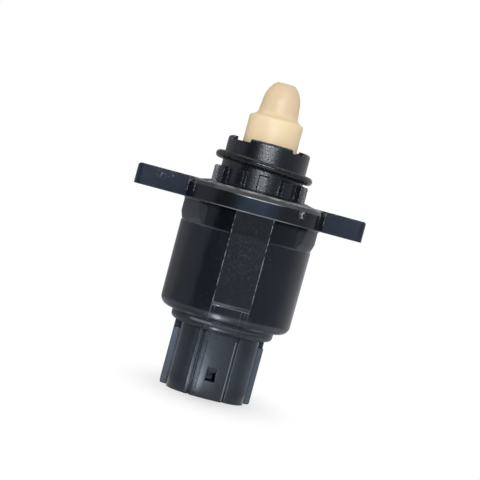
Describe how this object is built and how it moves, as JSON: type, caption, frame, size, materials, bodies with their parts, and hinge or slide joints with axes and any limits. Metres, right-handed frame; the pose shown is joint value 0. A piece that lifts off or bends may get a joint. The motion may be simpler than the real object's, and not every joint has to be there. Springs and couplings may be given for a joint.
{
  "type": "idle air control valve",
  "caption": "Flange-mounted idle air control valve: a motor-driven screw moves a domed plastic pintle out of a ribbed nose, with a plug socket at the rear.",
  "frame": {"origin": "on the valve's axis, at the flange's mounting face", "axes": "+Z along the axis towards the pintle, -Y towards the flat pad and the latch window, +X towards the shorter ear"},
  "size_m": [0.0587, 0.038, 0.0809],
  "materials": {
    "body_plastic": "semi-gloss moulded black plastic with a blue cast",
    "nose_plastic": "matte, finely grained black plastic",
    "seal_rubber": "satin black rubber",
    "pintle_plastic": "satin cream plastic",
    "sleeve_metal": "zinc-plated steel",
    "terminal_metal": "tin-plated copper alloy",
    "carrier_plastic": "moulded, plain",
    "bronze": "sintered bronze",
    "yoke_steel": "pressed, zinc-plated sheet steel",
    "bobbin_plastic": "natural moulded plastic",
    "copper_wire": "enamelled copper wire",
    "bearing_steel": "ground bearing steel",
    "spring_steel": "bright spring steel",
    "hub_plastic": "moulded bearing-grade plastic",
    "ferrite": "ground ferrite",
    "cage_plastic": "moulded nylon",
    "screw_steel": "rolled steel"
  },
  "bodies": {
    "root": {"housing": "body_plastic", "nose": "nose_plastic", "sealing_ring": "seal_rubber", "sleeve_left": "sleeve_metal", "sleeve_right": "sleeve_metal", "terminal_1": "terminal_metal", "terminal_2": "terminal_metal", "terminal_3": "terminal_metal", "terminal_4": "terminal_metal", "terminal_5": "terminal_metal", "terminal_6": "terminal_metal", "terminal_carrier": "carrier_plastic", "rear_bush": "bronze", "thrust_washer": "spring_steel", "rear_cup_yoke": "yoke_steel", "rear_plate_yoke": "yoke_steel", "rear_bobbin": "bobbin_plastic", "rear_winding": "copper_wire", "front_cup_yoke": "yoke_steel", "front_plate_yoke": "yoke_steel", "front_bobbin": "bobbin_plastic", "front_winding": "copper_wire", "bearing_outer_ring": "bearing_steel", "wave_washer": "spring_steel", "guide_plate": "yoke_steel", "preload_spring": "spring_steel"},
    "rotor": {"rotor_hub": "hub_plastic", "rotor_magnet": "ferrite", "bearing_inner_ring": "bearing_steel", "retaining_ring": "spring_steel"},
    "cage": {"bearing_cage": "cage_plastic", "bearing_balls": "bearing_steel"},
    "pintle": {"lead_screw": "screw_steel", "pintle": "pintle_plastic"}
  },
  "joints": [
    {"name": "pintle_slide", "type": "slide", "parent": "root", "child": "pintle", "axis": [0, 0, 1], "range_m": [-0.006, 0.002], "deforming": ["preload_spring"]},
    {"name": "rotor_spin", "type": "hinge", "parent": "root", "child": "rotor", "pos_m": [0, 0, -0.0172], "axis": [0, 0, 1], "range_deg": [-450, 1350]},
    {"name": "cage_spin", "type": "hinge", "parent": "root", "child": "cage", "pos_m": [0, 0, -0.0057], "axis": [0, 0, 1], "range_deg": [-172, 514]}
  ],
  "couplings": [
    {"joint": "rotor_spin", "follows": "pintle_slide", "rad_per_m": -3926.9},
    {"joint": "cage_spin", "follows": "pintle_slide", "rad_per_m": -1488.9}
  ]
}
